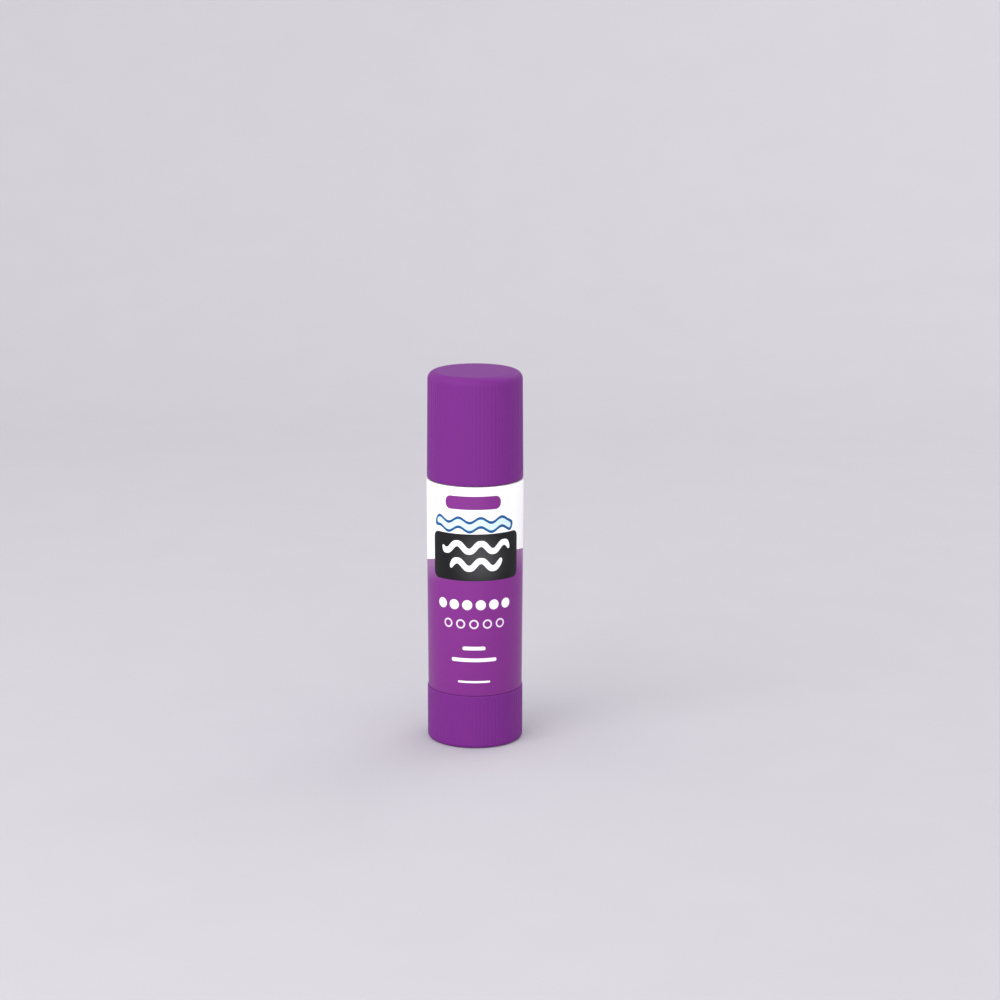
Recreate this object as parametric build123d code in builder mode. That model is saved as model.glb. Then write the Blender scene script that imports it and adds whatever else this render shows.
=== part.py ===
from build123d import *
from math import cos, floor, radians, sin
import os

# A twist-up glue stick of the 21 g size, standing upright on its knob.
# Turning the knob turns the screw, and the screw lifts the carrier and its glue column
# out of the barrel. The cap pulls off upwards.
# Millimetres, +Z up, origin at the centre of the knob's underside.

# Whole stick
stick_diameter = 25.4
stick_height = 99.5
knob_height = 14.3
cap_length = 28.4

# Clearances
knob_clearance = 0.2
knob_gap = 0.25
cap_clearance = 0.2
cap_seat_gap = 0.1
slide_clearance = 0.15
screw_clearance = 0.2
thrust_gap = 0.1
park_gap = 0.3
fit_gap = 0.03
overrun = 0.05

# Fine upright ribs round the knob and the cap, between smooth bands
rib_count = 76
rib_depth = 0.2
rib_inset = 0.04
rib_margin = 1.1

# Knob
knob_floor = 1.4
foot_height = 0.6
foot_width = 2.2
foot_edge = 0.6
lip_height = 0.6
gate_diameter = 1.6
gate_height = 0.3
socket_wall = 1.3
socket_depth = 5.6

# Grip bead: a low ring round the neck that holds the cap on
bead_height = 0.12
bead_width = 1.4
bead_setback = 3.4

# Barrel
neck_wall = 1.2
spigot_wall = 1.15
spigot_end_gap = 0.6
barrel_floor = 1.4
mouth_edge = 0.3
label_step = 0.05
guide_rib_count = 2
guide_rib_width = 1.6
guide_rib_height = 0.7
guide_rib_setback = 4.0

# Label
label_thickness = 0.1
label_margin = 0.2
label_seam_gap = 0.3

# Cap
cap_wall = 1.25
cap_top = 1.4
cap_draft = 0.25
cap_corner = 2.0
cap_corner_steps = 3
cap_rim_edge = 0.35
mouth_gap = 1.6
seal_length = 4.0
seal_wall = 0.8

# Screw
core_diameter = 4.4
thread_height = 0.9
thread_lead = 7.5
thread_root_width = 1.8
thread_crest_width = 1.0
thread_embed = 0.3
journal_diameter = 6.4
flange_diameter = 11.0
flange_thickness = 1.2
tail_diameter = 5.8
tail_sides = 6
tip_length = 1.4
tip_chamfer = 0.6

# Carrier
carrier_height = 10.5
carrier_wall = 1.1
carrier_floor = 1.2
hub_wall = 1.3
hub_lip = 0.5
lug_arc = 80
lug_clearance = 0.2
web_count = 4
web_thickness = 0.8
web_height = 4.0

# Glue
glue_setback = 1.6
glue_edge = 0.6
glue_over_tip = 0.4
glue_cover = 1.8

# Radii
knob_radius = stick_diameter / 2
cap_rim_radius = stick_diameter / 2
cap_bore = cap_rim_radius - cap_wall
neck_radius = cap_bore - cap_clearance
bore_radius = neck_radius - neck_wall
spigot_radius = bore_radius + spigot_wall
knob_bore = spigot_radius + knob_clearance
label_radius = knob_radius - label_step
barrel_radius = label_radius - label_thickness - fit_gap
seal_outer_radius = bore_radius - slide_clearance
seal_inner_radius = seal_outer_radius - seal_wall
core_radius = core_diameter / 2
thread_radius = core_radius + thread_height
journal_radius = journal_diameter / 2
journal_hole_radius = journal_radius + screw_clearance
flange_radius = flange_diameter / 2
tail_radius = tail_diameter / 2
socket_radius = tail_radius + socket_wall
carrier_radius = bore_radius - slide_clearance
cup_radius = carrier_radius - carrier_wall
hub_bore = thread_radius + screw_clearance
hub_radius = hub_bore + hub_wall
lug_tip_radius = core_radius + screw_clearance
notch_radius = bore_radius - guide_rib_height - slide_clearance

# The hub's lugs are flat ring pieces that fill the space between two turns of the
# thread, less the thread's rise along the lug's own arc and a clearance on each side
thread_slope = (thread_root_width - thread_crest_width) / thread_height
thread_embedded_width = thread_root_width + thread_slope * thread_embed
thread_width_at_tip = thread_root_width - thread_slope * (lug_tip_radius - core_radius)
lug_rise = thread_lead * lug_arc / 360
lug_tip_width = thread_lead - thread_width_at_tip - lug_rise - 2 * lug_clearance
lug_root_width = lug_tip_width + thread_slope * (hub_bore - lug_tip_radius)

# Heights, from the bottom up
knob_floor_top = foot_height + knob_floor
socket_top = knob_floor_top + socket_depth
barrel_floor_bottom = socket_top + park_gap
barrel_floor_top = barrel_floor_bottom + barrel_floor
spigot_bottom = knob_floor_top + spigot_end_gap
flange_bottom = barrel_floor_top + thrust_gap
flange_top = flange_bottom + flange_thickness
thread_start = flange_top + thread_root_width / 2
carrier_bottom = flange_top + park_gap
carrier_floor_top = carrier_bottom + carrier_floor
carrier_top = carrier_bottom + carrier_height
low_lug_height = thread_start + thread_lead / 2
high_lug_height = thread_start + thread_lead
hub_top = high_lug_height + lug_root_width / 2 + hub_lip
barrel_shoulder_low = knob_height + knob_gap
cap_rim_height = stick_height - cap_length
barrel_shoulder_high = cap_rim_height - cap_seat_gap
bead_middle = barrel_shoulder_high + bead_setback
cap_ceiling = stick_height - cap_top
barrel_mouth = cap_ceiling - mouth_gap
seal_bottom = cap_ceiling - seal_length
guide_rib_top = barrel_mouth - guide_rib_setback
glue_top = seal_bottom - glue_setback

# Travel: as many whole turns of the screw as fit below the glue's top
travel_room = glue_top - glue_cover - glue_over_tip - tip_length - high_lug_height
full_turns = floor(travel_room / thread_lead)
carrier_travel = full_turns * thread_lead
screw_tip = high_lug_height + carrier_travel + tip_length
thread_end = screw_tip - tip_chamfer - thread_root_width / 2
glue_hole_top = screw_tip + glue_over_tip


def rib_outline(radius):
    """A zigzag round a wall: a sharp crest on the radius for each rib, a root between each two."""
    half_step = 360 / (2 * rib_count)
    points = []
    for corner in range(2 * rib_count):
        reach = radius - rib_depth * (corner % 2)
        angle = radians(corner * half_step)
        points.append((reach * cos(angle), reach * sin(angle)))
    return points


def stepped_corner(radius, height, size):
    """A rounded outer corner, drawn as short flats from the side up to the top face."""
    points = []
    for step in range(cap_corner_steps + 1):
        angle = radians(90 * step / cap_corner_steps)
        points.append((radius - size * (1 - cos(angle)), height - size * (1 - sin(angle))))
    return points


# Knob: a ribbed cup on a foot ring, with the socket for the screw's tail in the middle
with BuildPart() as base_knob:
    with BuildSketch(Plane.XY.offset(foot_edge)):
        Polygon(*rib_outline(knob_radius - rib_inset), align=None)
    extrude(amount=knob_height - lip_height - foot_edge)
    with BuildSketch(Plane.XZ):
        with BuildLine():
            Polyline(
                (0, 0),
                (knob_radius - foot_edge, 0),
                (knob_radius, foot_edge),
                (0, foot_edge),
                close=True,
            )
        make_face()
        with BuildLine():
            Polyline(
                (0, knob_height - lip_height),
                (knob_radius, knob_height - lip_height),
                (knob_radius, knob_height),
                (0, knob_height),
                close=True,
            )
        make_face()
    revolve(axis=Axis.Z)
    with BuildSketch(Plane.XZ):
        with BuildLine():
            Polyline(
                (socket_radius, knob_floor_top),
                (knob_bore, knob_floor_top),
                (knob_bore, knob_height),
                (0, knob_height),
                (0, socket_top),
                (socket_radius, socket_top),
                close=True,
            )
        make_face()
        with BuildLine():
            Polyline(
                (0, 0),
                (knob_radius - foot_width, 0),
                (knob_radius - foot_width, foot_height),
                (0, foot_height),
                close=True,
            )
        make_face()
    revolve(axis=Axis.Z, mode=Mode.SUBTRACT)
    with BuildSketch(Plane.XY.offset(socket_top)):
        RegularPolygon(tail_radius + fit_gap, tail_sides)
    extrude(amount=-socket_depth, mode=Mode.SUBTRACT)
    with BuildSketch(Plane.XY.offset(foot_height)):
        Circle(gate_diameter / 2)
    extrude(amount=-gate_height)
base_knob.part.label = "base_knob"

# Screw: hexagonal tail, journal through the barrel's floor, flange above it, and one
# left-hand thread, so that turning the knob clockwise seen from below lifts the glue
with BuildPart() as spindle:
    with BuildSketch(Plane.XZ):
        with BuildLine():
            Polyline(
                (0, socket_top),
                (journal_radius, socket_top),
                (journal_radius, flange_bottom),
                (flange_radius, flange_bottom),
                (flange_radius, flange_top),
                (core_radius, flange_top),
                (core_radius, screw_tip - tip_chamfer),
                (core_radius - tip_chamfer, screw_tip),
                (0, screw_tip),
                close=True,
            )
        make_face()
    revolve(axis=Axis.Z)
    with BuildSketch(Plane.XY.offset(socket_top)):
        RegularPolygon(tail_radius, tail_sides)
    extrude(amount=park_gap - socket_depth)
    with BuildLine() as thread_path:
        thread_helix = Helix(
            thread_lead, thread_end - thread_start, core_radius, center=(0, 0, thread_start), lefthand=True
        )
    with BuildSketch(Plane(thread_helix @ 0, x_dir=(1, 0, 0), z_dir=(0, -1, 0))):
        with BuildLine():
            Polyline(
                (-thread_embed, -thread_embedded_width / 2),
                (thread_height, -thread_crest_width / 2),
                (thread_height, thread_crest_width / 2),
                (-thread_embed, thread_embedded_width / 2),
                close=True,
            )
        make_face()
    sweep(path=thread_path.wires()[0], is_frenet=True)
spindle.part.label = "spindle"

# Barrel: neck, shoulder, body, and the spigot that the knob turns round
with BuildPart() as barrel:
    with BuildSketch(Plane.XZ):
        with BuildLine():
            Polyline(
                (bore_radius, spigot_bottom),
                (spigot_radius, spigot_bottom),
                (spigot_radius, barrel_shoulder_low),
                (barrel_radius, barrel_shoulder_low),
                (barrel_radius, barrel_shoulder_high),
                (neck_radius, barrel_shoulder_high),
                (neck_radius, bead_middle - bead_width / 2),
                (neck_radius + bead_height, bead_middle),
                (neck_radius, bead_middle + bead_width / 2),
                (neck_radius, barrel_mouth - mouth_edge),
                (neck_radius - mouth_edge, barrel_mouth),
                (bore_radius, barrel_mouth),
                (bore_radius, barrel_floor_top),
                (journal_hole_radius, barrel_floor_top),
                (journal_hole_radius, barrel_floor_bottom),
                (bore_radius, barrel_floor_bottom),
                close=True,
            )
        make_face()
    revolve(axis=Axis.Z)
    with BuildSketch(Plane.XY.offset(barrel_floor_top)):
        with PolarLocations(bore_radius, guide_rib_count):
            Rectangle(2 * guide_rib_height, guide_rib_width)
    extrude(amount=guide_rib_top - barrel_floor_top)
barrel.part.label = "barrel"

# Label: a thin film round the barrel's body, its ends meeting at the back
label_bottom = barrel_shoulder_low + label_margin
label_top = barrel_shoulder_high - label_margin
with BuildPart() as label:
    with BuildSketch(Plane.XY.offset(label_bottom)):
        Circle(label_radius)
        Circle(label_radius - label_thickness, mode=Mode.SUBTRACT)
        with Locations((0, label_radius)):
            Rectangle(label_seam_gap, label_radius, mode=Mode.SUBTRACT)
    extrude(amount=label_top - label_bottom)
label.part.label = "label"

# Carrier: the cup that holds the glue, with a hub whose two lugs ride the screw's thread
with BuildPart() as carrier:
    with BuildSketch(Plane.XZ):
        with BuildLine():
            Polyline(
                (hub_bore, carrier_bottom),
                (carrier_radius, carrier_bottom),
                (carrier_radius, carrier_top),
                (cup_radius, carrier_top),
                (cup_radius, carrier_floor_top),
                (hub_radius, carrier_floor_top),
                (hub_radius, hub_top),
                (hub_bore, hub_top),
                close=True,
            )
        make_face()
    revolve(axis=Axis.Z)
    with BuildSketch(Plane.XY.offset(carrier_floor_top)):
        with PolarLocations((hub_radius + cup_radius) / 2, web_count, start_angle=180 / web_count):
            Rectangle(cup_radius - hub_radius + 2 * overrun, web_thickness)
    extrude(amount=web_height)
    for turn_share, lug_height in ((0, low_lug_height), (0.5, high_lug_height)):
        lug_plane = Plane.XZ.rotated((0, 0, 360 * turn_share - lug_arc / 2))
        with BuildSketch(lug_plane):
            with BuildLine():
                Polyline(
                    (hub_bore + overrun, lug_height - lug_root_width / 2),
                    (hub_bore, lug_height - lug_root_width / 2),
                    (lug_tip_radius, lug_height - lug_tip_width / 2),
                    (lug_tip_radius, lug_height + lug_tip_width / 2),
                    (hub_bore, lug_height + lug_root_width / 2),
                    (hub_bore + overrun, lug_height + lug_root_width / 2),
                    close=True,
                )
            make_face()
        revolve(axis=Axis.Z, revolution_arc=lug_arc)
    with BuildSketch(Plane.XY.offset(carrier_bottom)):
        with PolarLocations(notch_radius + guide_rib_width, guide_rib_count):
            Rectangle(2 * guide_rib_width, guide_rib_width + 2 * slide_clearance)
    extrude(amount=carrier_height, mode=Mode.SUBTRACT)
carrier.part.label = "carrier"

# Glue: cast in the cup and round the screw, grooved by the barrel's guide ribs
with BuildPart() as glue:
    with BuildSketch(Plane.XZ):
        with BuildLine():
            Polyline(
                (hub_radius + fit_gap, carrier_floor_top),
                (cup_radius - fit_gap, carrier_floor_top),
                (cup_radius - fit_gap, carrier_top),
                (carrier_radius, carrier_top),
                (carrier_radius, glue_top - glue_edge),
                (carrier_radius - glue_edge, glue_top),
                (0, glue_top),
                (0, glue_hole_top),
                (hub_bore, glue_hole_top),
                (hub_bore, hub_top + fit_gap),
                (hub_radius + fit_gap, hub_top + fit_gap),
                close=True,
            )
        make_face()
    revolve(axis=Axis.Z)
    with BuildSketch(Plane.XY.offset(carrier_top)):
        with PolarLocations(notch_radius + guide_rib_width, guide_rib_count):
            Rectangle(2 * guide_rib_width, guide_rib_width + 2 * slide_clearance)
    extrude(amount=glue_top - carrier_top, mode=Mode.SUBTRACT)
    with BuildSketch(Plane.XY.offset(carrier_floor_top)):
        with PolarLocations((hub_radius + cup_radius) / 2, web_count, start_angle=180 / web_count):
            Rectangle(cup_radius - hub_radius, web_thickness + 2 * fit_gap)
    extrude(amount=web_height + fit_gap, mode=Mode.SUBTRACT)
glue.part.label = "glue"

# Cap: a ribbed shell that leans inwards with its draft, between a smooth rim band and a
# crown with a rounded corner, and a ring inside its top that seals the barrel's mouth
crown_height = stick_height - cap_corner
cap_rib_bottom = cap_rim_height + rib_margin
cap_slope = cap_draft / (crown_height - cap_rim_height)
rib_bottom_radius = cap_rim_radius - cap_slope * rib_margin
crown_radius = cap_rim_radius - cap_draft
with BuildPart() as cap:
    with BuildSketch(Plane.XY.offset(cap_rib_bottom)):
        Polygon(*rib_outline(rib_bottom_radius - rib_inset), align=None)
    with BuildSketch(Plane.XY.offset(crown_height)):
        Polygon(*rib_outline(crown_radius - rib_inset), align=None)
    loft(ruled=True)
    with BuildSketch(Plane.XZ):
        with BuildLine():
            Polyline(
                (0, cap_rim_height),
                (cap_rim_radius - cap_rim_edge, cap_rim_height),
                (cap_rim_radius, cap_rim_height + cap_rim_edge),
                (rib_bottom_radius, cap_rib_bottom),
                (0, cap_rib_bottom),
                close=True,
            )
        make_face()
        with BuildLine():
            Polyline(
                (0, crown_height),
                *stepped_corner(crown_radius, stick_height, cap_corner),
                (0, stick_height),
                close=True,
            )
        make_face()
    revolve(axis=Axis.Z)
    with BuildSketch(Plane.XZ):
        with BuildLine():
            Polyline(
                (0, cap_rim_height),
                (cap_bore, cap_rim_height),
                (cap_bore, cap_ceiling),
                (seal_outer_radius, cap_ceiling),
                (seal_outer_radius, seal_bottom),
                (seal_inner_radius, seal_bottom),
                (seal_inner_radius, cap_ceiling),
                (0, cap_ceiling),
                close=True,
            )
        make_face()
    revolve(axis=Axis.Z, mode=Mode.SUBTRACT)
cap.part.label = "cap"

os.makedirs("parts", exist_ok=True)
for piece in (base_knob, spindle, barrel, label, carrier, glue, cap):
    export_step(piece.part, "parts/" + piece.part.label + ".step")
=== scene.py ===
"""Looks of the twist-up glue stick: moulded ribs, printed film, plastics, waxy glue, light and camera."""

from math import atan2, cos, hypot, pi, radians, sin

import bpy
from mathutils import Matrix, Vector


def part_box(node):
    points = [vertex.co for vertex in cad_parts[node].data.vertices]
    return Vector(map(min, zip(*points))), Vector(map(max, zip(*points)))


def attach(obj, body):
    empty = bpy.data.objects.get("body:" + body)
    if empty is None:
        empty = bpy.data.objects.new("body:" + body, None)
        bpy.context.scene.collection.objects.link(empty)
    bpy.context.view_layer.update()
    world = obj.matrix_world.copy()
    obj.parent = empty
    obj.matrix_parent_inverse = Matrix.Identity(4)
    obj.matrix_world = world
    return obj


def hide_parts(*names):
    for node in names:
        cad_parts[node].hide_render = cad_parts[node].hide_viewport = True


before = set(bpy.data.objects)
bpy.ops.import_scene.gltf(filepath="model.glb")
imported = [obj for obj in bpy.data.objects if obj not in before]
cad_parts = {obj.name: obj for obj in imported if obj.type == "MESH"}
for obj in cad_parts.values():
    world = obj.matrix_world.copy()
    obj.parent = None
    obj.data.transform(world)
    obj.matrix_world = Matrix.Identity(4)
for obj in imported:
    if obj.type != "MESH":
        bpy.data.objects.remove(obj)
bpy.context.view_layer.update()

MM = 0.001
TINY = 0.002

LOW, HIGH = 0, 1
Y, Z = 1, 2


def cad_end(node, end, axis):
    """Where a CAD node's box ends along an axis, in millimetres, to the nearest micron."""
    return round(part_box(node)[end][axis] / MM, 3)


# Ends of the pieces, from the frame
STICK_TOP = cad_end("cap", HIGH, Z)
CAP_RIM = cad_end("cap", LOW, Z)
KNOB_RADIUS = cad_end("base_knob", HIGH, Y)
BARREL_MOUTH = cad_end("barrel", HIGH, Z)
SPIGOT_BOTTOM = cad_end("barrel", LOW, Z)
GLUE_TOP = cad_end("glue", HIGH, Z)
CARRIER_FLOOR_TOP = cad_end("glue", LOW, Z)
GLUE_RADIUS = cad_end("glue", HIGH, Y)

# Cap, in millimetres. It leans inwards with its draft.
CAP_RADIUS_LOW = KNOB_RADIUS
CAP_RADIUS_HIGH = KNOB_RADIUS - 0.25
CAP_CORNER = 2.1
CAP_CEILING = STICK_TOP - 1.4
CAP_BORE = 11.45
SEAL_OUTER = 9.9
SEAL_INNER = 9.1
SEAL_BOTTOM = CAP_CEILING - 4

# Barrel
SHOULDER_LOW = 14.55
SHOULDER_HIGH = CAP_RIM - 0.1
SPIGOT_RADIUS = 11.2
NECK_RADIUS = 11.25
BARREL_BORE = GLUE_RADIUS + 0.15
BARREL_FLOOR = 7.9
BARREL_FLOOR_TOP = 9.3
JOURNAL_HOLE = 3.4
BEAD_MIDDLE = 74.4
BEAD_WIDTH = 1.4
BEAD_HEIGHT = 0.12
GUIDE_TOP = 92.5
GUIDE_WIDTH = 1.6
GUIDE_HEIGHT = 0.7

# Label: the film leans out a little towards its top, as the photograph shows
LABEL_BOTTOM = SHOULDER_LOW + 0.02
LABEL_TOP = SHOULDER_HIGH - 0.05
LABEL_RADIUS_LOW = KNOB_RADIUS - 0.2
LABEL_RADIUS_HIGH = KNOB_RADIUS + 0.1
FILM = 0.1
FILM_SEAM = 0.3
FILM_BACKING = 0.03

# Knob: it comes up to a fine gap under the barrel, and the gate's mark is hidden in its foot
KNOB_TOP = SHOULDER_LOW - 0.1
KNOB_BORE = 11.4
KNOB_FLOOR = 2.0
SOCKET_RADIUS = 4.2
SOCKET_TOP = 7.6
SOCKET_PLAY = 0.03
TAIL_RADIUS = 2.9
FOOT_INNER = 10.5
FOOT_RISE = 0.6
GATE_RADIUS = 0.8
GATE_HEIGHT = 0.3

# Glue: it fills the carrier's cup round the hub and the two webs, and is grooved outside
CARRIER_TOP = 21.4
CUP_RADIUS = 8.77
HUB_RADIUS = 4.63
HUB_TOP = 21.83
WEB_HEIGHT = 4.03
WEB_WIDTH = 0.86
GLUE_HOLE_RADIUS = 3.3
GLUE_HOLE_TOP = 88.3
NOTCH_RADIUS = 9.2
NOTCH_WIDTH = 1.9
NOTCH_CUT = 4

# Fine upright ribs, drawn with eight steps to a rib
RIB_COUNT = 76
RIB_STEPS = 8
RIB_DEPTH = 0.08
RIB_SHARES = (0, 0, 0.3, 0.8, 1, 0.8, 0.3, 0)
RIB_SKIN = CAP_BORE + 0.15

# Steps round the pieces that have no ribs
BARREL_STEPS = 240
LABEL_STEPS = 300
GLUE_STEPS = 192


# Modelling by hand


def deselect():
    """Leaves nothing selected, so that a new primitive is the only thing an operator acts on."""
    bpy.ops.object.select_all(action="DESELECT")


def choose(piece):
    """Makes one piece the only thing selected, and the active one."""
    deselect()
    piece.select_set(True)
    bpy.context.view_layer.objects.active = piece


def pick(piece, test):
    """Selects the vertices of a piece whose place in millimetres passes the test, ready for editing."""
    bpy.ops.object.mode_set(mode="OBJECT")
    picked = [bool(test(vertex.co / MM)) for vertex in piece.data.vertices]
    piece.data.vertices.foreach_set("select", picked)
    for edge in piece.data.edges:
        edge.select = all(picked[end] for end in edge.vertices)
    for face in piece.data.polygons:
        face.select = all(picked[corner] for corner in face.vertices)
    bpy.ops.object.mode_set(mode="EDIT")


def merge_doubles():
    """Merges the vertices that lie on each other, over the whole mesh in edit mode."""
    bpy.ops.mesh.select_all(action="SELECT")
    bpy.ops.mesh.remove_doubles(threshold=TINY * MM)


def draw_section(name, section):
    """Draws a piece's half section as a wire, from corner to corner.

    A corner is a radius and a height in millimetres. A corner to be rounded
    adds the rounding in millimetres and its number of segments.
    """
    deselect()
    start = Vector((section[0][0], 0, section[0][1])) * MM
    bpy.ops.mesh.primitive_plane_add(size=MM, location=(0, 0, 0))
    piece = bpy.context.active_object
    piece.name = name
    piece.data.name = name
    bpy.ops.object.mode_set(mode="EDIT")
    bpy.ops.mesh.merge(type="CENTER")
    bpy.ops.transform.translate(value=start)
    last = start
    for corner in section[1:]:
        place = Vector((corner[0], 0, corner[1])) * MM
        bpy.ops.mesh.extrude_vertices_move(TRANSFORM_OT_translate={"value": place - last})
        last = place
    merge_doubles()
    for corner in section:
        if len(corner) == 4:
            radius, height, rounding, segments = corner
            pick(piece, lambda at: hypot(at.x - radius, at.z - height) < TINY)
            bpy.ops.mesh.bevel(offset=rounding * MM, segments=segments, affect="VERTICES")
    return piece


def turn(piece, steps, sweep=2 * pi):
    """Spins the section about the stick's axis and closes its seam and poles, faces outwards."""
    bpy.ops.mesh.select_all(action="SELECT")
    bpy.ops.mesh.spin(steps=steps, angle=sweep, center=(0, 0, 0), axis=(0, 0, 1))
    merge_doubles()
    bpy.ops.mesh.normals_make_consistent(inside=False)
    bpy.ops.object.mode_set(mode="OBJECT")


def smooth(piece, angle=35):
    """Shades the piece smooth, and keeps the edges that are sharper than the angle."""
    bpy.ops.object.mode_set(mode="OBJECT")
    choose(piece)
    bpy.ops.object.shade_smooth_by_angle(angle=radians(angle))


def press_ribs(piece, rings):
    """Presses the valleys between the ribs inwards. A ring is a height range and its share of the depth."""
    slice_angle = 2 * pi / (RIB_COUNT * RIB_STEPS)
    for low, high, share in rings:
        for depth_share in sorted(set(RIB_SHARES) - {0}):

            def in_valley(at):
                step = round(atan2(at.y, at.x) / slice_angle) % RIB_STEPS
                outside = hypot(at.x, at.y) > RIB_SKIN
                return outside and low <= at.z <= high and RIB_SHARES[step] == depth_share

            pick(piece, in_valley)
            scale = 1 - RIB_DEPTH * depth_share * share / KNOB_RADIUS
            bpy.ops.transform.resize(value=(scale, scale, 1), center_override=(0, 0, 0))
    bpy.ops.object.mode_set(mode="OBJECT")


def cut(piece, cutter):
    """Cuts one piece out of another and removes the cutter."""
    bpy.ops.object.mode_set(mode="OBJECT")
    choose(piece)
    boolean = piece.modifiers.new("cut", "BOOLEAN")
    boolean.operation = "DIFFERENCE"
    boolean.solver = "EXACT"
    boolean.object = cutter
    bpy.ops.object.modifier_apply(modifier=boolean.name)
    bpy.data.objects.remove(cutter)
    bpy.ops.object.mode_set(mode="EDIT")
    merge_doubles()
    bpy.ops.mesh.dissolve_degenerate(threshold=TINY * MM)
    bpy.ops.object.mode_set(mode="OBJECT")


def slot_cutter(length, width, low, high, distance, turned_by):
    """A block for cutting an upright slot, its middle at a distance from the axis and an angle round it."""
    deselect()
    bpy.ops.mesh.primitive_cube_add(size=MM, location=(0, 0, 0))
    block = bpy.context.active_object
    bpy.ops.object.mode_set(mode="EDIT")
    bpy.ops.transform.resize(value=(length, width, high - low), center_override=(0, 0, 0))
    bpy.ops.transform.translate(value=Vector((distance, 0, (low + high) / 2)) * MM)
    bpy.ops.transform.rotate(value=turned_by, orient_axis="Z", center_override=(0, 0, 0))
    bpy.ops.object.mode_set(mode="OBJECT")
    return block


def six_sided_cutter(radius, low, length):
    """A six-sided bar on the axis, for cutting the socket that the screw's tail is pressed into."""
    deselect()
    bpy.ops.mesh.primitive_cylinder_add(vertices=6, radius=MM, depth=MM, location=(0, 0, 0))
    bar = bpy.context.active_object
    bpy.ops.object.mode_set(mode="EDIT")
    bpy.ops.transform.resize(value=(radius, radius, length), center_override=(0, 0, 0))
    bpy.ops.transform.rotate(value=radians(30), orient_axis="Z", center_override=(0, 0, 0))
    bpy.ops.transform.translate(value=(0, 0, (low + length / 2) * MM))
    bpy.ops.object.mode_set(mode="OBJECT")
    return bar


def smooth_copy(node, name):
    """A merged, smoothly shaded copy of a CAD node, which stands for it."""
    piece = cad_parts[node].copy()
    piece.data = piece.data.copy()
    piece.name = name
    piece.data.name = name
    piece.parent = None
    bpy.context.scene.collection.objects.link(piece)
    choose(piece)
    bpy.ops.object.mode_set(mode="EDIT")
    merge_doubles()
    smooth(piece, 30)
    return piece


# Cap: one moulded shell, ribbed between a smooth rim band and its rounded crown
cap = draw_section(
    "cap_shell",
    [
        (0, STICK_TOP),
        (CAP_RADIUS_HIGH - CAP_CORNER - 0.5, STICK_TOP),
        (CAP_RADIUS_HIGH, STICK_TOP, CAP_CORNER, 9),
        # Three rings where the ribs fade into the plain band at the rim
        (CAP_RADIUS_LOW - 0.02, CAP_RIM + 2.6),
        (CAP_RADIUS_LOW - 0.015, CAP_RIM + 2.1),
        (CAP_RADIUS_LOW - 0.01, CAP_RIM + 1.6),
        (CAP_RADIUS_LOW, CAP_RIM, 0.4, 5),
        (CAP_BORE, CAP_RIM, 0.3, 3),
        (CAP_BORE, CAP_CEILING, 0.5, 3),
        (SEAL_OUTER, CAP_CEILING),
        (SEAL_OUTER, SEAL_BOTTOM, 0.3, 3),
        (SEAL_INNER, SEAL_BOTTOM, 0.3, 3),
        (SEAL_INNER, CAP_CEILING),
        (0, CAP_CEILING),
    ],
)
turn(cap, RIB_COUNT * RIB_STEPS)
crown_start = STICK_TOP - CAP_CORNER
press_ribs(
    cap,
    [
        (CAP_RIM + 2, CAP_RIM + 2.2, 0.5),
        (CAP_RIM + 2.5, crown_start + 0.1, 1),
        (crown_start + 0.2, crown_start + 0.5, 0.85),
        (crown_start + 0.6, crown_start + 0.8, 0.6),
        (crown_start + 0.9, crown_start + 1.2, 0.3),
    ],
)
smooth(cap)

# Knob: a ribbed cup on a foot ring, with the moulding gate's mark under its middle
knob = draw_section(
    "knob_cup",
    [
        (0, GATE_HEIGHT),
        (GATE_RADIUS, GATE_HEIGHT, 0.1, 2),
        (GATE_RADIUS, FOOT_RISE),
        (FOOT_INNER, FOOT_RISE, 0.2, 3),
        (FOOT_INNER, 0, 0.2, 3),
        (KNOB_RADIUS, 0, 0.9, 6),
        # Rings where the ribs fade out below and above
        (KNOB_RADIUS, 1.6),
        (KNOB_RADIUS, 2.1),
        (KNOB_RADIUS, KNOB_TOP - 1),
        (KNOB_RADIUS, KNOB_TOP - 0.65),
        (KNOB_RADIUS, KNOB_TOP, 0.22, 4),
        (KNOB_BORE, KNOB_TOP, 0.15, 2),
        (KNOB_BORE, KNOB_FLOOR, 0.3, 3),
        (SOCKET_RADIUS, KNOB_FLOOR, 0.3, 3),
        (SOCKET_RADIUS, SOCKET_TOP, 0.2, 2),
        (0, SOCKET_TOP),
    ],
)
turn(knob, RIB_COUNT * RIB_STEPS)
press_ribs(
    knob,
    [
        (1.55, 1.65, 0.5),
        (2, KNOB_TOP - 0.9, 1),
        (KNOB_TOP - 0.7, KNOB_TOP - 0.6, 0.5),
    ],
)
cut(knob, six_sided_cutter(TAIL_RADIUS + SOCKET_PLAY, KNOB_FLOOR, SOCKET_TOP - KNOB_FLOOR + 1))
smooth(knob)

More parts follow.
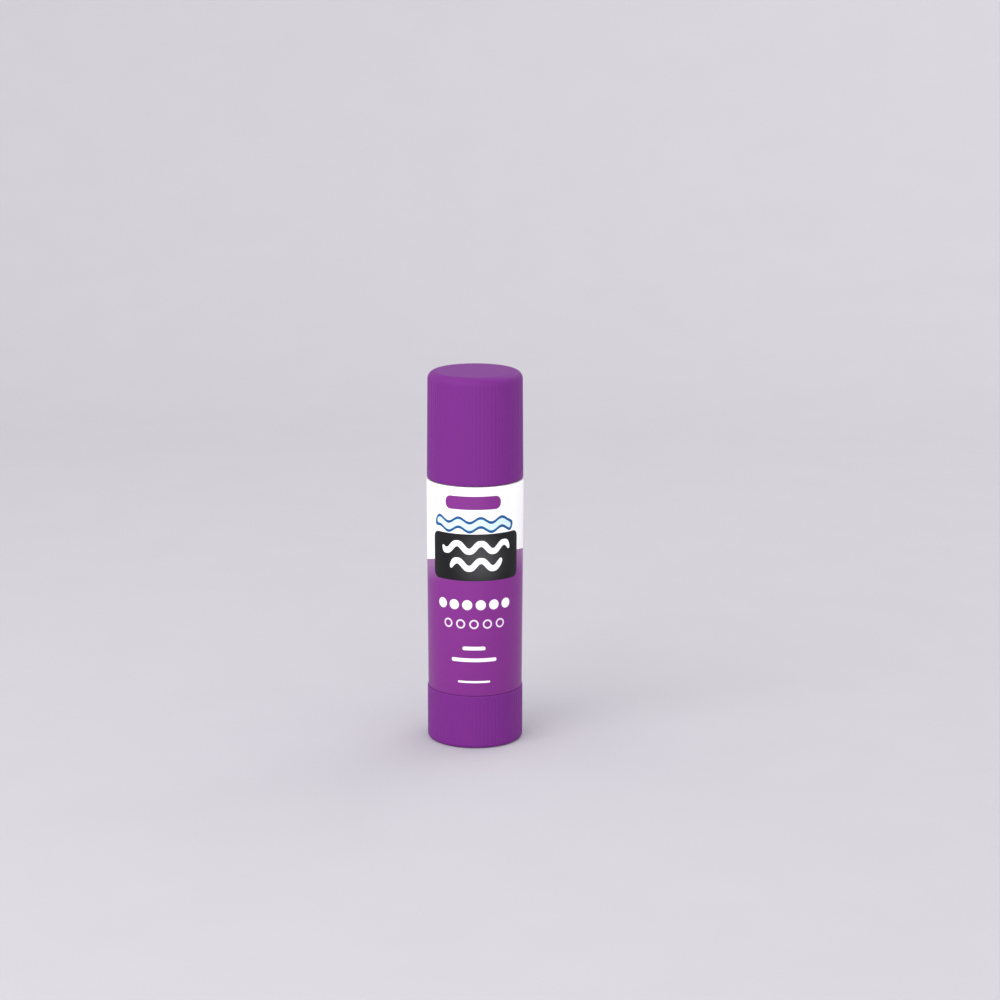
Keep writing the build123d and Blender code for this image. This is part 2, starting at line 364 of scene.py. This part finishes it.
# Barrel: neck with its grip bead, label wall, spigot, floor and two guide ribs
barrel = draw_section(
    "barrel_body",
    [
        (BARREL_BORE, SPIGOT_BOTTOM, 0.2, 2),
        (SPIGOT_RADIUS, SPIGOT_BOTTOM, 0.3, 3),
        (SPIGOT_RADIUS, SHOULDER_LOW, 0.1, 2),
        (LABEL_RADIUS_LOW - FILM - FILM_BACKING, SHOULDER_LOW, 0.12, 3),
        (LABEL_RADIUS_HIGH - FILM - FILM_BACKING, SHOULDER_HIGH, 0.15, 3),
        (NECK_RADIUS, SHOULDER_HIGH, 0.1, 2),
        (NECK_RADIUS, BEAD_MIDDLE - BEAD_WIDTH / 2, 0.2, 3),
        (NECK_RADIUS + BEAD_HEIGHT, BEAD_MIDDLE, 0.35, 4),
        (NECK_RADIUS, BEAD_MIDDLE + BEAD_WIDTH / 2, 0.2, 3),
        (NECK_RADIUS, BARREL_MOUTH, 0.35, 4),
        (BARREL_BORE, BARREL_MOUTH, 0.3, 4),
        (BARREL_BORE, GUIDE_TOP),
        (BARREL_BORE, BARREL_FLOOR_TOP),
        (JOURNAL_HOLE, BARREL_FLOOR_TOP, 0.2, 2),
        (JOURNAL_HOLE, BARREL_FLOOR, 0.2, 2),
        (BARREL_BORE, BARREL_FLOOR, 0.3, 3),
        (BARREL_BORE, SPIGOT_BOTTOM),
    ],
)
turn(barrel, BARREL_STEPS)


def in_guide_rib(at):
    """Whether a point lies on the bore's wall, where one of the two guide ribs stands."""
    near = 0.01
    return (
        abs(hypot(at.x, at.y) - BARREL_BORE) < near
        and BARREL_FLOOR_TOP - near < at.z < GUIDE_TOP + near
        and abs(at.y) < GUIDE_WIDTH / 2
    )


pick(barrel, in_guide_rib)
bpy.ops.mesh.extrude_region_move()
rib_scale = 1 - GUIDE_HEIGHT / BARREL_BORE
bpy.ops.transform.resize(value=(rib_scale, 1, 1), center_override=(0, 0, 0))
bpy.ops.object.mode_set(mode="OBJECT")
smooth(barrel, 30)

# Label: a printed film round the barrel, its two ends meeting at the back
label = draw_section(
    "label_film",
    [
        (LABEL_RADIUS_LOW - FILM, LABEL_BOTTOM),
        (LABEL_RADIUS_LOW, LABEL_BOTTOM, 0.03, 2),
        (LABEL_RADIUS_HIGH, LABEL_TOP, 0.03, 2),
        (LABEL_RADIUS_HIGH - FILM, LABEL_TOP),
        (LABEL_RADIUS_LOW - FILM, LABEL_BOTTOM),
    ],
)
bpy.ops.mesh.select_all(action="SELECT")
bpy.ops.mesh.edge_face_add()
seam_half = FILM_SEAM / 2 / LABEL_RADIUS_LOW
bpy.ops.transform.rotate(value=-pi / 2 - seam_half, orient_axis="Z", center_override=(0, 0, 0))
turn(label, LABEL_STEPS, 2 * pi - 2 * seam_half)
smooth(label)

# Glue: the cast column, grooved by the guide ribs, its top edge softened by its mould
glue = draw_section(
    "glue_column",
    [
        (0, GLUE_TOP - 0.15),
        (5, GLUE_TOP - 0.12),
        (8.6, GLUE_TOP),
        (GLUE_RADIUS, GLUE_TOP, 0.9, 6),
        (GLUE_RADIUS, CARRIER_TOP),
        (CUP_RADIUS, CARRIER_TOP),
        (CUP_RADIUS, CARRIER_FLOOR_TOP),
        (HUB_RADIUS, CARRIER_FLOOR_TOP),
        (HUB_RADIUS, HUB_TOP),
        (GLUE_HOLE_RADIUS, HUB_TOP),
        (GLUE_HOLE_RADIUS, GLUE_HOLE_TOP),
        (0, GLUE_HOLE_TOP),
    ],
)
turn(glue, GLUE_STEPS)
notch_middle = NOTCH_RADIUS + NOTCH_CUT / 2
for side in (0, pi):
    cut(glue, slot_cutter(NOTCH_CUT, NOTCH_WIDTH, CARRIER_TOP - 1, GLUE_TOP + 1, notch_middle, side))
web_top = CARRIER_FLOOR_TOP + WEB_HEIGHT
for side in (pi / 4, 3 * pi / 4):
    cut(glue, slot_cutter(2 * CUP_RADIUS, WEB_WIDTH, CARRIER_FLOOR_TOP - 1, web_top, 0, side))
smooth(glue)

# Screw and carrier: smoothly shaded, with the CAD's own shapes
screw = smooth_copy("spindle", "screw")
cup = smooth_copy("carrier", "carrier_cup")


# Materials, and the real sizes of their patterns in millimetres. The mould's eroded grain is about
# 0.05 mm across, too fine to show at this size, so it is drawn ten times as coarse.
FLOW_WIDTH = 16
FLOW_LENGTH = 40
EROSION_GRAIN = 0.5
MILK_CLOUD = 11
GLUE_CLOUD = 6
GLUE_PIT = 1.1
VARNISH_RIPPLE = 1.4
PAPER_CLOUD = 25

# The Mix node's colour sockets
UNDER, OVER, MIXED = 6, 7, 2


def across_mm(size):
    """The scale that makes a pattern's features this many millimetres across."""
    return 1 / (size * MM)


def colour(code):
    """The linear colour of an sRGB hex value, with full alpha."""
    channels = [int(code[place : place + 2], 16) / 255 for place in (1, 3, 5)]
    linear = [c / 12.92 if c <= 0.04045 else ((c + 0.055) / 1.055) ** 2.4 for c in channels]
    return (*linear, 1)


def add(tree, kind, inputs, **settings):
    """Adds a node with its settings and input values or links, and returns the node."""
    made = tree.nodes.new(kind)
    for setting, value in settings.items():
        setattr(made, setting, value)
    for socket, value in inputs.items():
        if isinstance(value, bpy.types.NodeSocket):
            tree.links.new(value, made.inputs[socket])
        else:
            made.inputs[socket].default_value = value
    return made


def new_material(name, **settings):
    """A material with its nodes, its shader, which holds the uniform values, and the place on the piece."""
    material = bpy.data.materials.new(name)
    material.use_nodes = True
    tree = material.node_tree
    shader = tree.nodes["Principled BSDF"]
    for socket, value in settings.items():
        shader.inputs[socket.replace("_", " ")].default_value = value
    place = add(tree, "ShaderNodeTexCoord", {}).outputs["Object"]
    return material, tree, shader, place


def cloud_colour(tree, shader, place, scale, detail, tones):
    """Clouds the base colour between two tones that are nearly the same."""
    cloud = add(tree, "ShaderNodeTexNoise", {"Vector": place, "Scale": scale, "Detail": detail})
    tone = add(
        tree,
        "ShaderNodeMix",
        {"Factor": cloud.outputs["Fac"], UNDER: colour(tones[0]), OVER: colour(tones[1])},
        data_type="RGBA",
    )
    tree.links.new(tone.outputs[MIXED], shader.inputs["Base Color"])


def grain_surface(tree, shader, place, scale, detail, roughness, strength, depth):
    """Gives the surface its fine grain, which lifts it and varies its roughness between two values."""
    grain = add(tree, "ShaderNodeTexNoise", {"Vector": place, "Scale": scale, "Detail": detail})
    fine = grain.outputs["Fac"]
    sheen = add(
        tree, "ShaderNodeMapRange", {"Value": fine, "To Min": roughness[0], "To Max": roughness[1]}
    )
    tree.links.new(sheen.outputs[0], shader.inputs["Roughness"])
    relief = add(tree, "ShaderNodeBump", {"Height": fine, "Strength": strength, "Distance": depth * MM})
    tree.links.new(relief.outputs[0], shader.inputs["Normal"])


# Injection-moulded polypropylene, dyed purple: a satin skin that copies a finely eroded
# steel mould, with faint flow marks where the dye is a little deeper
plastic, tree, shader, place = new_material("purple_polypropylene", IOR=1.49, Specular_IOR_Level=0.12)
flow_scale = (across_mm(FLOW_WIDTH), across_mm(FLOW_WIDTH), across_mm(FLOW_LENGTH))
flow = add(tree, "ShaderNodeMapping", {"Vector": place, "Scale": flow_scale})
cloud_colour(tree, shader, flow.outputs[0], 1, 3, ("#762a83", "#712780"))
grain_surface(tree, shader, place, across_mm(EROSION_GRAIN), 2, (0.42, 0.52), 0.12, 0.06)

# Natural polypropylene, moulded and undyed: milky and slightly see-through, so light
# bleeds through it and its edges look warm
natural, tree, shader, place = new_material(
    "natural_polypropylene", IOR=1.49, Subsurface_Weight=0.25, Subsurface_Scale=0.002
)
cloud_colour(tree, shader, place, across_mm(MILK_CLOUD), 3, ("#e2dfd6", "#dad6cb"))
grain_surface(tree, shader, place, across_mm(EROSION_GRAIN), 2, (0.3, 0.42), 0.1, 0.06)

# Cast glue, a soap gel dyed violet: waxy and soft, so light sinks in, with the fine pits
# and smears of its surface
wax, tree, shader, place = new_material(
    "cast_violet_glue", IOR=1.45, Subsurface_Weight=0.35, Subsurface_Scale=0.003
)
cloud_colour(tree, shader, place, across_mm(GLUE_CLOUD), 4, ("#7d4c9f", "#8a5aad"))
grain_surface(tree, shader, place, across_mm(GLUE_PIT), 5, (0.3, 0.55), 0.35, 0.1)


# Printed film

# The print, in millimetres on the flat sheet: across from the front's middle, and up
# from the floor. A block is its middle, half its size, and the radius of its corners.
PRINT_RADIUS = 12.68
PRINT_EDGE = 0.04
SHORE_HEIGHT = 50.35
SHORE_SWELL = 2.7
SHORE_RISE = 1.5
FADE_DEPTH = 7
PILL = ((-0.6, 66.8), (7.6, 1.78), 1.55)
RIBBON = ((-0.4, 0), (11.5, 1.6), 1.6)
RIBBON_CORE = ((-0.4, 0), (10.75, 0.85), 0.85)
RIBBON_HEIGHT = 60.95
RIBBON_WAVE = 5.85
RIBBON_SWING = 0.65
PANEL = ((0.3, 52.2), (12.8, 6.3), 1.75)
PANEL_SHEEN = (1.5, 51.5)
PANEL_SHEEN_REACH = 9.5
STROKE_MIDDLE = 0.3
STROKE_HALF_WIDTH = 0.8
STROKE_WAVE = 6.4
STROKE_SWING = 1.05
STROKES = ((54.9, 9.6), (50.3, 7.2))
ROW_MIDDLE = -0.3
ROW_PITCH = 3.6
DOT_HEIGHT, DOT_COUNT, DOT_RADIUS = 39.4, 6, 1.35
RING_HEIGHT, RING_COUNT, RING_RADIUS = 34.2, 5, 1.25
RING_HALF_LINE = 0.2
RULES = ((27.6, 3.1, 0.5), (24.4, 6.2, 0.5), (18.4, 4.4, 0.28))
WHITE_INK = "#fdfdfd"

# Printed polypropylene film, varnished: smooth and semi-gloss. White above and purple
# below, with a plain pill, a wavy blue ribbon, a dark panel with two wavy strokes, dots,
# rings and rules in white. It carries no words.
film, tree, shader, place = new_material("printed_film", IOR=1.49, Specular_IOR_Level=0.15)
axes = add(tree, "ShaderNodeSeparateXYZ", {0: place})
ahead = add(tree, "ShaderNodeMath", {0: axes.outputs["Y"], 1: -1}, operation="MULTIPLY")
angle = add(
    tree, "ShaderNodeMath", {0: axes.outputs["X"], 1: ahead.outputs[0]}, operation="ARCTAN2"
).outputs[0]
across = add(tree, "ShaderNodeMath", {0: angle, 1: PRINT_RADIUS}, operation="MULTIPLY").outputs[0]
height = add(tree, "ShaderNodeMath", {0: axes.outputs["Z"], 1: 1 / MM}, operation="MULTIPLY").outputs[0]
sheet = add(tree, "ShaderNodeCombineXYZ", {0: across, 1: height}).outputs[0]


def block_distance(surface, middle, half_size, corner):
    """The signed distance in millimetres from a block with rounded corners, on a flat surface."""
    offset = add(tree, "ShaderNodeVectorMath", {0: surface, 1: (*middle, 0)}, operation="SUBTRACT")
    folded = add(tree, "ShaderNodeVectorMath", {0: offset.outputs[0]}, operation="ABSOLUTE")
    core = (half_size[0] - corner, half_size[1] - corner, 0)
    beyond = add(tree, "ShaderNodeVectorMath", {0: folded.outputs[0], 1: core}, operation="SUBTRACT")
    outer = add(tree, "ShaderNodeVectorMath", {0: beyond.outputs[0], 1: (0, 0, 0)}, operation="MAXIMUM")
    reach = add(tree, "ShaderNodeVectorMath", {0: outer.outputs[0]}, operation="LENGTH")
    distance = add(tree, "ShaderNodeMath", {0: reach.outputs["Value"], 1: corner}, operation="SUBTRACT")
    return distance.outputs[0]


def row_distance(level, count, radius):
    """The signed distance from a row of equal discs, folded from one disc."""
    half_row = ROW_PITCH * count / 2
    shifted = add(tree, "ShaderNodeMath", {0: across, 1: half_row - ROW_MIDDLE}, operation="ADD")
    folded = add(tree, "ShaderNodeMath", {0: shifted.outputs[0], 1: ROW_PITCH, 2: 0}, operation="WRAP")
    strip = add(tree, "ShaderNodeCombineXYZ", {0: folded.outputs[0], 1: height}).outputs[0]
    one = block_distance(strip, (ROW_PITCH / 2, level), (radius, radius), radius)
    row = block_distance(sheet, (ROW_MIDDLE, level), (half_row, radius + 1), 1)
    return add(tree, "ShaderNodeMath", {0: one, 1: row}, operation="MAXIMUM").outputs[0]


def paint(under, over, distance, faint=PRINT_EDGE, full=-PRINT_EDGE):
    """Prints one ink over another. It fades in between two distances in millimetres from a shape's edge."""
    mask = add(
        tree,
        "ShaderNodeMapRange",
        {"Value": distance, "From Min": faint, "From Max": full},
        interpolation_type="SMOOTHSTEP",
    )
    inks = {"Factor": mask.outputs[0], UNDER: under, OVER: over}
    return add(tree, "ShaderNodeMix", inks, data_type="RGBA").outputs[MIXED]


# Purple field: its upper edge swells at the front and rises from left to right, with a
# lilac fade under it
sway = add(tree, "ShaderNodeMath", {0: angle}, operation="SINE").outputs[0]
lift = add(tree, "ShaderNodeMath", {0: angle}, operation="COSINE").outputs[0]
swell = add(tree, "ShaderNodeMath", {0: lift, 1: SHORE_SWELL, 2: SHORE_HEIGHT}, operation="MULTIPLY_ADD")
shore = add(
    tree, "ShaderNodeMath", {0: sway, 1: SHORE_RISE, 2: swell.outputs[0]}, operation="MULTIPLY_ADD"
)
above_shore = add(tree, "ShaderNodeMath", {0: height, 1: shore.outputs[0]}, operation="SUBTRACT").outputs[0]
field = paint(colour("#803087"), colour("#956799"), above_shore, -FADE_DEPTH, 0)
ink = paint(colour(WHITE_INK), field, above_shore)

# Plain purple pill
ink = paint(ink, colour("#7e2e85"), block_distance(sheet, *PILL))

# Wavy blue ribbon with a pale core, ended by a round cap at each side
ribbon_phase = add(tree, "ShaderNodeMath", {0: across, 1: 2 * pi / RIBBON_WAVE}, operation="MULTIPLY")
ribbon_wave = add(tree, "ShaderNodeMath", {0: ribbon_phase.outputs[0]}, operation="SINE")
ribbon_line = add(
    tree,
    "ShaderNodeMath",
    {0: ribbon_wave.outputs[0], 1: RIBBON_SWING, 2: RIBBON_HEIGHT},
    operation="MULTIPLY_ADD",
)
off_ribbon = add(tree, "ShaderNodeMath", {0: height, 1: ribbon_line.outputs[0]}, operation="SUBTRACT")
straightened = add(tree, "ShaderNodeCombineXYZ", {0: across, 1: off_ribbon.outputs[0]}).outputs[0]
ink = paint(ink, colour("#18568f"), block_distance(straightened, *RIBBON))
ink = paint(ink, colour("#d5ecf8"), block_distance(straightened, *RIBBON_CORE))

# Dark panel with a grey sheen in its middle
off_sheen = add(tree, "ShaderNodeVectorMath", {0: sheet, 1: (*PANEL_SHEEN, 0)}, operation="SUBTRACT")
from_sheen = add(tree, "ShaderNodeVectorMath", {0: off_sheen.outputs[0]}, operation="LENGTH").outputs["Value"]
panel_ink = paint(colour("#19191b"), colour("#474649"), from_sheen, PANEL_SHEEN_REACH, 0)
ink = paint(ink, panel_ink, block_distance(sheet, *PANEL))

# Two wavy white strokes across the panel, as wide on their slopes as on their crests
stroke_phase = add(tree, "ShaderNodeMath", {0: across, 1: 2 * pi / STROKE_WAVE}, operation="MULTIPLY")
stroke = add(tree, "ShaderNodeMath", {0: stroke_phase.outputs[0]}, operation="SINE").outputs[0]
slope = add(tree, "ShaderNodeMath", {0: stroke_phase.outputs[0]}, operation="COSINE").outputs[0]
climb = 2 * pi * STROKE_SWING / STROKE_WAVE
steep = add(tree, "ShaderNodeMath", {0: slope, 1: climb}, operation="MULTIPLY").outputs[0]
steep_square = add(tree, "ShaderNodeMath", {0: steep, 1: steep, 2: 1}, operation="MULTIPLY_ADD")
steep_length = add(tree, "ShaderNodeMath", {0: steep_square.outputs[0]}, operation="SQRT").outputs[0]
for level, half_length in STROKES:
    line = add(tree, "ShaderNodeMath", {0: stroke, 1: STROKE_SWING, 2: level}, operation="MULTIPLY_ADD")
    away = add(tree, "ShaderNodeMath", {0: height, 1: line.outputs[0]}, operation="SUBTRACT")
    true_away = add(tree, "ShaderNodeMath", {0: away.outputs[0], 1: steep_length}, operation="DIVIDE")
    straightened = add(tree, "ShaderNodeCombineXYZ", {0: across, 1: true_away.outputs[0]}).outputs[0]
    shape = ((STROKE_MIDDLE, 0), (half_length, STROKE_HALF_WIDTH), STROKE_HALF_WIDTH)
    ink = paint(ink, colour(WHITE_INK), block_distance(straightened, *shape))

# A row of dots, a row of rings, and short rules
ink = paint(ink, colour(WHITE_INK), row_distance(DOT_HEIGHT, DOT_COUNT, DOT_RADIUS))
rings = row_distance(RING_HEIGHT, RING_COUNT, RING_RADIUS)
ring_band = add(tree, "ShaderNodeMath", {0: rings, 1: RING_HALF_LINE}, operation="ADD")
ring_line = add(tree, "ShaderNodeMath", {0: ring_band.outputs[0]}, operation="ABSOLUTE")
ring_edge = add(tree, "ShaderNodeMath", {0: ring_line.outputs[0], 1: RING_HALF_LINE}, operation="SUBTRACT")
ink = paint(ink, colour("#f3e3f4"), ring_edge.outputs[0])
for level, half_length, half_width in RULES:
    shape = ((ROW_MIDDLE, level), (half_length, half_width), half_width)
    ink = paint(ink, colour(WHITE_INK), block_distance(sheet, *shape))

tree.links.new(ink, shader.inputs["Base Color"])
grain_surface(tree, shader, place, across_mm(VARNISH_RIPPLE), 2, (0.34, 0.42), 0.06, 0.04)

# Each piece's node, body, slot and finish. The hidden CAD node gets the same finish.
for piece, node, body, slot, material in (
    (cap, "cap", "cap", "purple_plastic", plastic),
    (knob, "base_knob", "knob", "purple_plastic", plastic),
    (screw, "spindle", "knob", "white_plastic", natural),
    (barrel, "barrel", "barrel", "white_plastic", natural),
    (label, "label", "barrel", "label_film", film),
    (cup, "carrier", "carrier", "white_plastic", natural),
    (glue, "glue", "carrier", "glue", wax),
):
    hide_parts(node)
    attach(piece, body)
    for finished in (piece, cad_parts[node]):
        finished.data.materials.clear()
        finished.data.materials.append(material)

# Floor: a plain pale sweep, flat under the stick and rising behind it, in metres
FLOOR_SIZE = 1.8
WALL_HEIGHT = 1.2
SWEEP_RADIUS = 0.5

deselect()
bpy.ops.mesh.primitive_plane_add(size=FLOOR_SIZE, location=(0, 0, 0))
floor = bpy.context.active_object
floor.name = "floor"
pick(floor, lambda at: at.y > 0)
bpy.ops.mesh.extrude_region_move(TRANSFORM_OT_translate={"value": (0, 0, WALL_HEIGHT)})
pick(floor, lambda at: at.y > 0 and at.z < 1)
bpy.ops.mesh.bevel(offset=SWEEP_RADIUS, segments=24, affect="EDGES")
smooth(floor, 60)

# Matt backdrop paper, with faint clouds in its tone
paper, tree, shader, place = new_material("studio_paper", Roughness=0.9)
cloud_colour(tree, shader, place, across_mm(PAPER_CLOUD), 4, ("#c4c1c7", "#c0bdc3"))
floor.data.materials.append(paper)

# Light: a broad key from the upper left, two soft fills and an even room, in metres and watts
STICK_MIDDLE = Vector((0, 0, STICK_TOP / 2)) * MM
LIGHTS = (
    ("key", (-0.6, -0.65, 0.6), 0.8, 5),
    ("front", (0.1, -1.2, 0.12), 0.9, 4),
    ("back", (0.45, 0.55, 0.7), 0.6, 1.6),
)
ROOM_STRENGTH = 1.1

deselect()
for name, stand, size, power in LIGHTS:
    bpy.ops.object.light_add(type="AREA", location=stand)
    lamp = bpy.context.active_object
    lamp.name = name
    lamp.data.size = size
    lamp.data.energy = power
    lamp.rotation_euler = (STICK_MIDDLE - Vector(stand)).to_track_quat("-Z", "Y").to_euler()
room = bpy.data.worlds.new("room")
bpy.context.scene.world = room
room.use_nodes = True
room_light = room.node_tree.nodes["Background"]
room_light.inputs["Color"].default_value = colour("#f2f2f4")
room_light.inputs["Strength"].default_value = ROOM_STRENGTH

# Camera: the photograph's distance, height and framing
VIEW_DISTANCE = 0.723
VIEW_ELEVATION = radians(14.03)
VIEW_LENS = 98.1
VIEW_SENSOR = 36
VIEW_SHIFT = (0.0249, 0.0553)
VIEW_NEAREST = 0.01

bpy.ops.object.camera_add(
    location=STICK_MIDDLE + VIEW_DISTANCE * Vector((0, -cos(VIEW_ELEVATION), sin(VIEW_ELEVATION))),
    rotation=(pi / 2 - VIEW_ELEVATION, 0, 0),
)
camera = bpy.context.active_object
camera.data.lens = VIEW_LENS
camera.data.sensor_width = VIEW_SENSOR
camera.data.shift_x, camera.data.shift_y = VIEW_SHIFT
camera.data.clip_start = VIEW_NEAREST
bpy.context.scene.camera = camera

# Plain tones, so that inks and plastics show the colours they were given
bpy.context.scene.view_settings.view_transform = "Standard"
